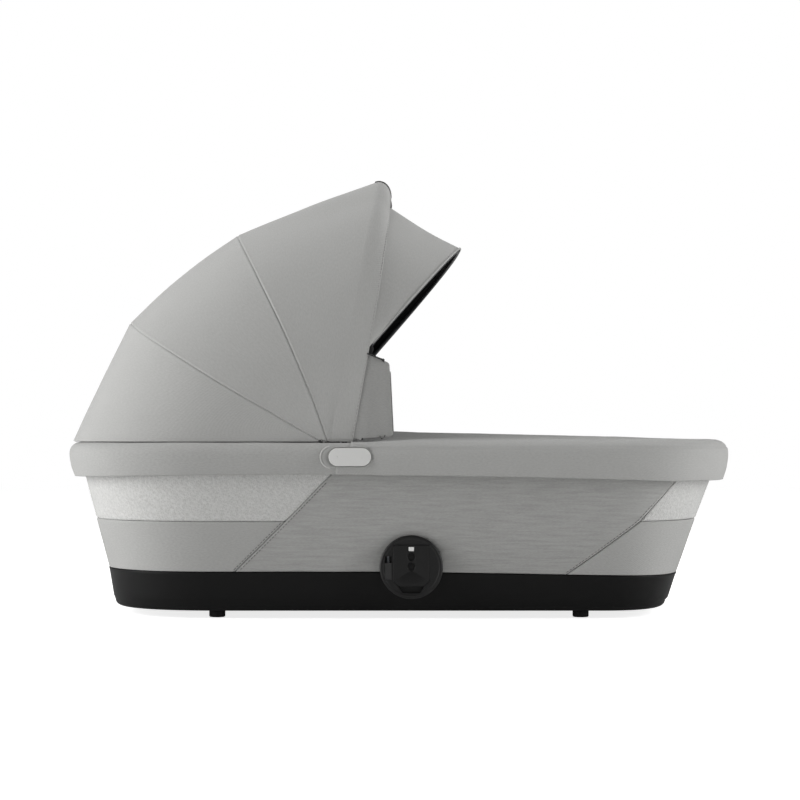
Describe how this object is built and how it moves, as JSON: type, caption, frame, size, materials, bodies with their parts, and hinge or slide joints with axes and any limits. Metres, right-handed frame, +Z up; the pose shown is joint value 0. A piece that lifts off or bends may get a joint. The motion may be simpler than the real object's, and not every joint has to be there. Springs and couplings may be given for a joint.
{
  "type": "carrycot",
  "caption": "Lie-flat pram carrycot with a moulded base tray, padded fabric tub, folding canopy with visor and carry handle, foot apron, collapsing rim and side receivers for a chassis adapter.",
  "frame": {"origin": "middle of the carrycot's outer box, on the ground plane under the feet", "axes": "+X towards the foot end, along the longest side; +Y towards the left side; +Z up"},
  "size_m": [0.844, 0.4444, 0.5491],
  "materials": {
    "black_plastic": "moulded black plastic with a fine texture",
    "foot_rubber": "matt black rubber",
    "dark_plastic": "dark moulded plastic",
    "mattress_fabric": "off-white knitted mattress cover",
    "outer_fabric": "grey melange twill",
    "mesh_fabric": "light coarse spacer mesh",
    "ribbed_fabric": "grey melange with fine cross ribs",
    "lining_fabric": "light quilted lining",
    "aluminium": "satin anodised tube",
    "steel": "zinc plated steel",
    "grip_leather": "dark grained leatherette",
    "button_plastic": "light grey satin plastic",
    "bezel_plastic": "pale grey satin plastic",
    "window_plastic": "small pale indicator window"
  },
  "bodies": {
    "base": {"base_tray": "black_plastic", "foot_pad_1": "foot_rubber", "foot_pad_2": "foot_rubber", "foot_pad_3": "foot_rubber", "foot_pad_4": "foot_rubber", "mattress_board": "dark_plastic", "mattress": "mattress_fabric", "cover_head_lower": "outer_fabric", "cover_head_mesh": "mesh_fabric", "cover_foot_lower": "outer_fabric", "cover_foot_mesh": "mesh_fabric", "cover_side_left": "ribbed_fabric", "cover_side_right": "ribbed_fabric", "inner_liner": "lining_fabric", "stay_bracket_head_left": "steel", "stay_bracket_head_right": "steel", "stay_bracket_foot_left": "steel", "stay_bracket_foot_right": "steel", "receiver_left": "black_plastic", "receiver_plate_left": "dark_plastic", "receiver_backplate_left": "steel", "lock_window_left": "window_plastic", "latch_spring_left": "steel", "receiver_right": "black_plastic", "receiver_plate_right": "dark_plastic", "receiver_backplate_right": "steel", "lock_window_right": "window_plastic", "latch_spring_right": "steel"},
    "rim": {"rim_tube": "aluminium", "rim_band": "outer_fabric", "stay_clip_head": "dark_plastic", "stay_clip_foot": "dark_plastic", "apron": "outer_fabric", "canopy_panel_rear": "outer_fabric", "hinge_hub_left": "dark_plastic", "hinge_pin_left": "steel", "hinge_bezel_left": "bezel_plastic", "button_spring_left": "steel", "hinge_hub_right": "dark_plastic", "hinge_pin_right": "steel", "hinge_bezel_right": "bezel_plastic", "button_spring_right": "steel"},
    "stay_head": {"stay_head": "steel"},
    "stay_foot": {"stay_foot": "steel"},
    "bow_rear": {"bow_rear": "steel", "canopy_panel_middle": "outer_fabric"},
    "bow_middle": {"bow_middle": "steel", "canopy_panel_front": "outer_fabric"},
    "bow_front": {"bow_front": "dark_plastic", "handle_grip": "grip_leather", "canopy_wing_left": "outer_fabric", "canopy_wing_right": "outer_fabric", "visor_bracket_left": "dark_plastic", "visor_bracket_right": "dark_plastic", "visor_fabric": "outer_fabric"},
    "visor": {"visor_bow": "steel"},
    "button_left": {"hinge_button_left": "button_plastic"},
    "button_right": {"hinge_button_right": "button_plastic"},
    "latch_left": {"latch_left": "dark_plastic"},
    "latch_right": {"latch_right": "dark_plastic"}
  },
  "joints": [
    {"name": "rim_drop", "type": "slide", "parent": "base", "child": "rim", "axis": [0, 0, 1], "range_m": [-0.104, 0], "deforming": ["cover_head_lower", "cover_head_mesh", "cover_foot_lower", "cover_foot_mesh", "cover_side_left", "cover_side_right", "inner_liner"]},
    {"name": "stay_head_fold", "type": "hinge", "parent": "rim", "child": "stay_head", "pos_m": [-0.386, 0, 0.194], "axis": [0, -1, 0], "range_deg": [0, 39.4]},
    {"name": "stay_foot_fold", "type": "hinge", "parent": "rim", "child": "stay_foot", "pos_m": [0.386, 0, 0.194], "axis": [0, 1, 0], "range_deg": [0, 39.4]},
    {"name": "canopy_rear_fold", "type": "hinge", "parent": "rim", "child": "bow_rear", "pos_m": [-0.084, 0, 0.212], "axis": [0, -1, 0], "range_deg": [0, 23], "deforming": ["canopy_panel_rear"]},
    {"name": "canopy_middle_fold", "type": "hinge", "parent": "bow_rear", "child": "bow_middle", "pos_m": [-0.084, 0, 0.212], "axis": [0, -1, 0], "range_deg": [0, 27.8], "deforming": ["canopy_panel_middle"]},
    {"name": "canopy_front_fold", "type": "hinge", "parent": "bow_middle", "child": "bow_front", "pos_m": [-0.084, 0, 0.212], "axis": [0, -1, 0], "range_deg": [0, 28], "deforming": ["canopy_panel_front"]},
    {"name": "visor_fold", "type": "hinge", "parent": "bow_front", "child": "visor", "pos_m": [-0.038, 0, 0.33], "axis": [0, -1, 0], "range_deg": [0, 30], "deforming": ["visor_fabric"]},
    {"name": "button_left_press", "type": "slide", "parent": "rim", "child": "button_left", "axis": [0, -1, 0], "range_m": [0, 0.003], "stiffness_N_per_m": 1200, "springref_m": -0.002, "deforming": ["button_spring_left"]},
    {"name": "button_right_press", "type": "slide", "parent": "rim", "child": "button_right", "axis": [0, 1, 0], "range_m": [0, 0.003], "stiffness_N_per_m": 1200, "springref_m": -0.002, "deforming": ["button_spring_right"]},
    {"name": "latch_left_slide", "type": "slide", "parent": "base", "child": "latch_left", "axis": [0, 0, 1], "range_m": [0, 0.004], "stiffness_N_per_m": 1000, "springref_m": -0.002, "deforming": ["latch_spring_left"]},
    {"name": "latch_right_slide", "type": "slide", "parent": "base", "child": "latch_right", "axis": [0, 0, 1], "range_m": [0, 0.004], "stiffness_N_per_m": 1000, "springref_m": -0.002, "deforming": ["latch_spring_right"]}
  ],
  "couplings": [
    {"joint": "stay_head_fold", "follows": "rim_drop", "rad_per_m": -6.6},
    {"joint": "stay_foot_fold", "follows": "rim_drop", "rad_per_m": -6.6},
    {"joint": "canopy_middle_fold", "follows": "canopy_rear_fold", "ratio": 1.1913},
    {"joint": "canopy_front_fold", "follows": "canopy_rear_fold", "ratio": 1.2}
  ]
}
